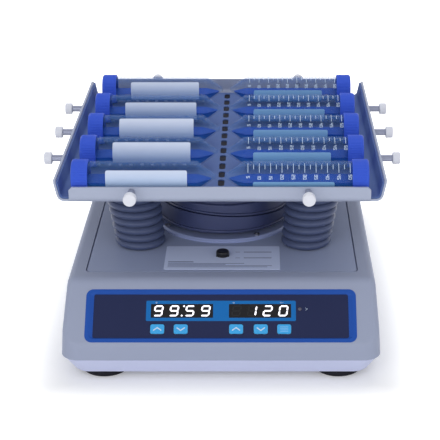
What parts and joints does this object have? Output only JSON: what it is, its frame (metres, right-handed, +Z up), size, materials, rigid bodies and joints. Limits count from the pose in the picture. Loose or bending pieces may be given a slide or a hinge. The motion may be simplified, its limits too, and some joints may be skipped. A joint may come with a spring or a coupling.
{
  "type": "tube rotator",
  "caption": "Bench tube rotator: a low housing with a sloped control panel and a tilting tray that waves capped conical sample tubes.",
  "frame": {"origin": "on the bench, under the middle of the base", "axes": "+X to the right seen from the control panel, +Y towards the rear, +Z up"},
  "size_m": [0.3022, 0.3624, 0.1779],
  "materials": {
    "housing_paint": "satin",
    "deck_paint": "satin",
    "pan_plastic": "satin",
    "rubber": "matte",
    "bellows_rubber": "satin",
    "drum_metal": "satin",
    "steel": "brushed",
    "aluminium": "satin",
    "bezel_blue": "gloss",
    "panel_navy": "gloss",
    "window_black": "gloss",
    "key_blue": "gloss",
    "board_green": "satin",
    "black_plastic": "satin",
    "white_plastic": "satin",
    "mat_rubber": "matte",
    "tube_clear": "gloss",
    "cap_blue": "satin"
  },
  "bodies": {
    "base": {"base_pan": "pan_plastic", "rubber_feet": "rubber", "base_screws": "steel", "housing": "housing_paint", "deck_plate": "deck_paint", "clamp_flange": "drum_metal", "knob_bush": "steel", "panel_bezel": "bezel_blue", "panel_overlay": "panel_navy", "display_windows": "window_black", "control_board": "board_green", "centre_post": "steel", "post_yoke": "steel", "main_bearings": "steel", "drive_belt": "rubber", "motor": "black_plastic", "motor_bracket": "steel", "power_supply": "aluminium", "mains_inlet": "black_plastic", "switch_frame": "black_plastic", "bellows": "bellows_rubber"},
    "rotor": {"hollow_shaft": "steel", "driven_pulley": "aluminium", "lower_wedge_disc": "drum_metal"},
    "wedge": {"upper_wedge_disc": "drum_metal"},
    "motor_pulley": {"motor_pulley": "steel"},
    "gimbal": {"gimbal_cross": "steel"},
    "platform": {"hub_yoke": "aluminium", "hub_screws": "steel", "tray": "aluminium", "tray_mat": "mat_rubber", "peg_posts": "steel", "peg_heads": "white_plastic"},
    "angle_knob": {"angle_knob": "black_plastic"},
    "rocker": {"power_rocker": "black_plastic"},
    "key_1": {"key_1": "key_blue"},
    "key_2": {"key_2": "key_blue"},
    "key_3": {"key_3": "key_blue"},
    "key_4": {"key_4": "key_blue"},
    "key_5": {"key_5": "key_blue"},
    "sample_left_1": {"tube_left_1": "tube_clear", "cap_left_1": "cap_blue"},
    "sample_right_1": {"tube_right_1": "tube_clear", "cap_right_1": "cap_blue"},
    "sample_left_2": {"tube_left_2": "tube_clear", "cap_left_2": "cap_blue"},
    "sample_right_2": {"tube_right_2": "tube_clear", "cap_right_2": "cap_blue"},
    "sample_left_3": {"tube_left_3": "tube_clear", "cap_left_3": "cap_blue"},
    "sample_right_3": {"tube_right_3": "tube_clear", "cap_right_3": "cap_blue"},
    "sample_left_4": {"tube_left_4": "tube_clear", "cap_left_4": "cap_blue"},
    "sample_right_4": {"tube_right_4": "tube_clear", "cap_right_4": "cap_blue"},
    "sample_left_5": {"tube_left_5": "tube_clear", "cap_left_5": "cap_blue"},
    "sample_right_5": {"tube_right_5": "tube_clear", "cap_right_5": "cap_blue"}
  },
  "joints": [
    {"name": "drive_spin", "type": "hinge", "parent": "base", "child": "rotor", "pos_m": [0, 0, 0.06], "axis": [0, 0, 1], "continuous": true},
    {"name": "angle_set", "type": "hinge", "parent": "rotor", "child": "wedge", "pos_m": [0, 0, 0.0944], "axis": [0.056, 0.0668, 0.9962], "range_deg": [0, 180]},
    {"name": "motor_spin", "type": "hinge", "parent": "base", "child": "motor_pulley", "pos_m": [0, 0.13, 0.054], "axis": [0, 0, 1], "continuous": true},
    {"name": "tilt_x", "type": "hinge", "parent": "base", "child": "gimbal", "pos_m": [0, 0, 0.13], "axis": [1, 0, 0], "range_deg": [-10, 10], "stiffness_Nm_per_rad": 3, "deforming": ["bellows"]},
    {"name": "tilt_y", "type": "hinge", "parent": "gimbal", "child": "platform", "pos_m": [0, 0, 0.13], "axis": [0, 1, 0], "range_deg": [-10, 10], "stiffness_Nm_per_rad": 3, "deforming": ["bellows"]},
    {"name": "knob_push", "type": "slide", "parent": "base", "child": "angle_knob", "axis": [0, 0, -1], "range_m": [0, 0.004], "stiffness_N_per_m": 400},
    {"name": "power_switch", "type": "hinge", "parent": "base", "child": "rocker", "pos_m": [-0.036, 0.17281, 0.04769], "axis": [1, 0, 0], "range_deg": [-16, 0]},
    {"name": "key_1_press", "type": "slide", "parent": "base", "child": "key_1", "axis": [0, 0.6934, -0.7206], "range_m": [0, 0.0005], "stiffness_N_per_m": 800},
    {"name": "key_2_press", "type": "slide", "parent": "base", "child": "key_2", "axis": [0, 0.6934, -0.7206], "range_m": [0, 0.0005], "stiffness_N_per_m": 800},
    {"name": "key_3_press", "type": "slide", "parent": "base", "child": "key_3", "axis": [0, 0.6934, -0.7206], "range_m": [0, 0.0005], "stiffness_N_per_m": 800},
    {"name": "key_4_press", "type": "slide", "parent": "base", "child": "key_4", "axis": [0, 0.6934, -0.7206], "range_m": [0, 0.0005], "stiffness_N_per_m": 800},
    {"name": "key_5_press", "type": "slide", "parent": "base", "child": "key_5", "axis": [0, 0.6934, -0.7206], "range_m": [0, 0.0005], "stiffness_N_per_m": 800},
    {"name": "lift_left_1", "type": "slide", "parent": "platform", "child": "sample_left_1", "axis": [0, 0, 1], "range_m": [0, 0.06]},
    {"name": "lift_right_1", "type": "slide", "parent": "platform", "child": "sample_right_1", "axis": [0, 0, 1], "range_m": [0, 0.06]},
    {"name": "lift_left_2", "type": "slide", "parent": "platform", "child": "sample_left_2", "axis": [0, 0, 1], "range_m": [0, 0.06]},
    {"name": "lift_right_2", "type": "slide", "parent": "platform", "child": "sample_right_2", "axis": [0, 0, 1], "range_m": [0, 0.06]},
    {"name": "lift_left_3", "type": "slide", "parent": "platform", "child": "sample_left_3", "axis": [0, 0, 1], "range_m": [0, 0.06]},
    {"name": "lift_right_3", "type": "slide", "parent": "platform", "child": "sample_right_3", "axis": [0, 0, 1], "range_m": [0, 0.06]},
    {"name": "lift_left_4", "type": "slide", "parent": "platform", "child": "sample_left_4", "axis": [0, 0, 1], "range_m": [0, 0.06]},
    {"name": "lift_right_4", "type": "slide", "parent": "platform", "child": "sample_right_4", "axis": [0, 0, 1], "range_m": [0, 0.06]},
    {"name": "lift_left_5", "type": "slide", "parent": "platform", "child": "sample_left_5", "axis": [0, 0, 1], "range_m": [0, 0.06]},
    {"name": "lift_right_5", "type": "slide", "parent": "platform", "child": "sample_right_5", "axis": [0, 0, 1], "range_m": [0, 0.06]}
  ],
  "couplings": [
    {"joint": "motor_spin", "follows": "drive_spin", "ratio": 8}
  ]
}
